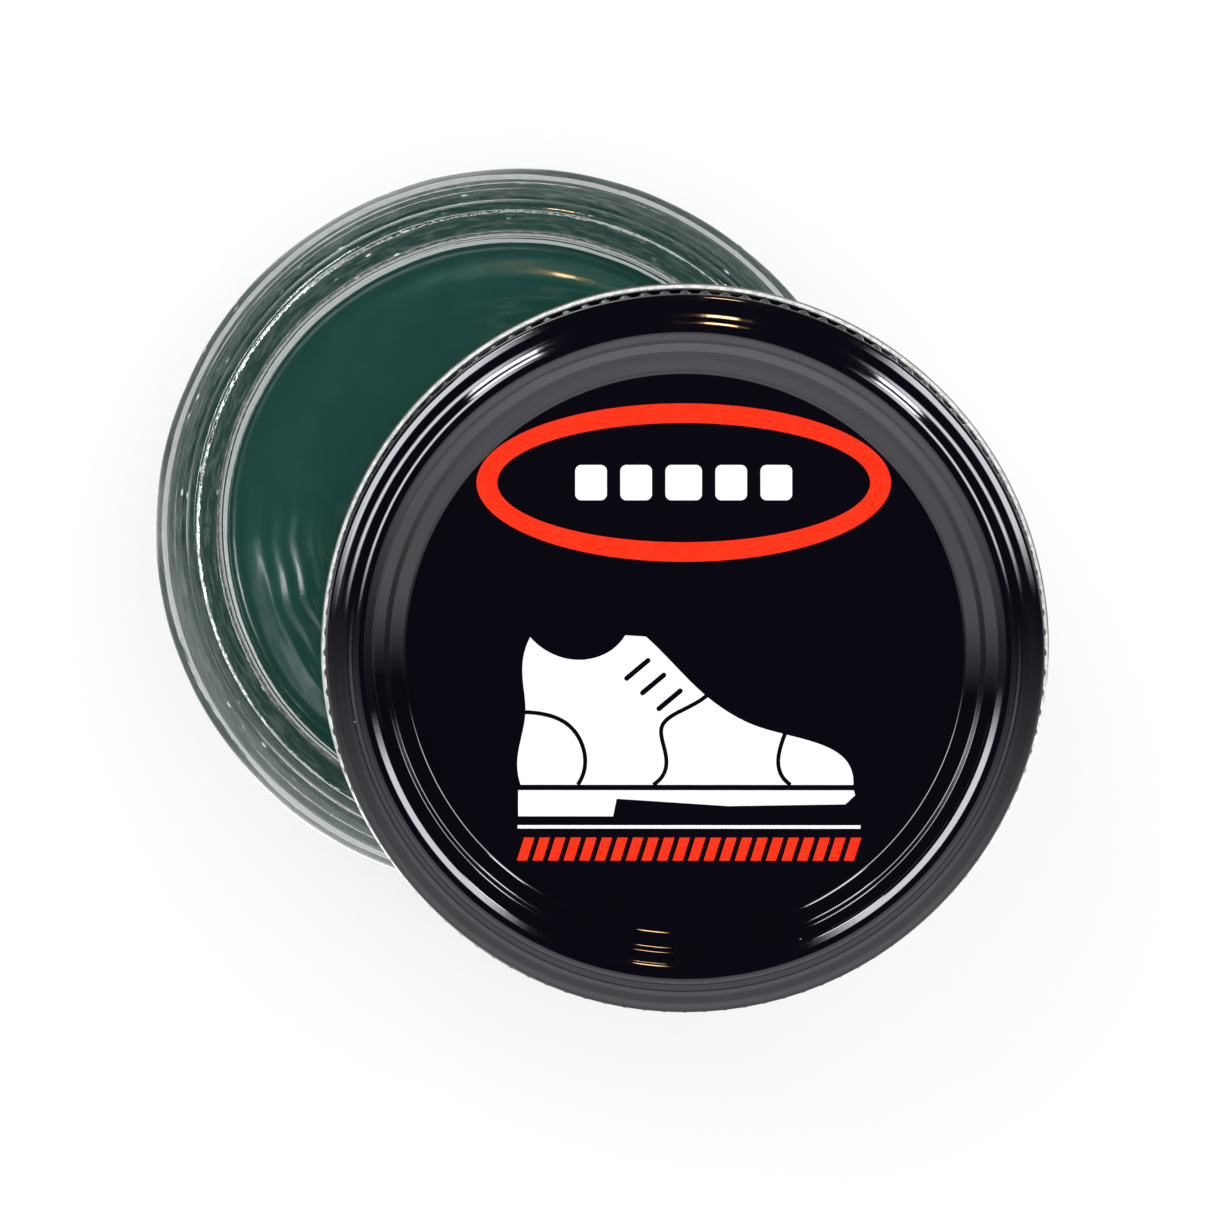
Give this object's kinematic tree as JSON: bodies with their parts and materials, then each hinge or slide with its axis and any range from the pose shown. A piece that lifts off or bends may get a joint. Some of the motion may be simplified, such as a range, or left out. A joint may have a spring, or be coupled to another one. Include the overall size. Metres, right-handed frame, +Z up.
{
  "type": "shoe cream jar",
  "caption": "Squat round glass jar of dark green shoe cream, with a black knurled metal screw lid set down askew over its open mouth.",
  "frame": {"origin": "centre of the jar's bearing ring, on the surface the jar stands on", "axes": "+Z up the jar's axis; +X towards the right of the lid's printed panel, +Y towards its top"},
  "size_m": [0.0754, 0.0712, 0.0423],
  "materials": {
    "clear_glass": "clear, fire polished",
    "green_cream": "soft wax gloss",
    "black_lacquer": "high gloss lacquer",
    "white_liner": "satin foam",
    "orange_ink": "gloss ink",
    "white_ink": "gloss ink"
  },
  "bodies": {
    "jar": {"glass_jar": "clear_glass", "shoe_cream": "green_cream"},
    "liner": {"lid_liner": "white_liner"},
    "lid": {"lid_shell": "black_lacquer", "orange_print": "orange_ink", "white_print": "white_ink"}
  },
  "joints": [
    {"name": "lid_lift", "type": "slide", "parent": "jar", "child": "liner", "axis": [0, 0, 1], "range_m": [0, 0.06]},
    {"name": "lid_turn", "type": "hinge", "parent": "liner", "child": "lid", "pos_m": [0.01425, -0.01003, 0.02988], "axis": [-0.007, -0.0454, 0.9989], "continuous": true}
  ]
}
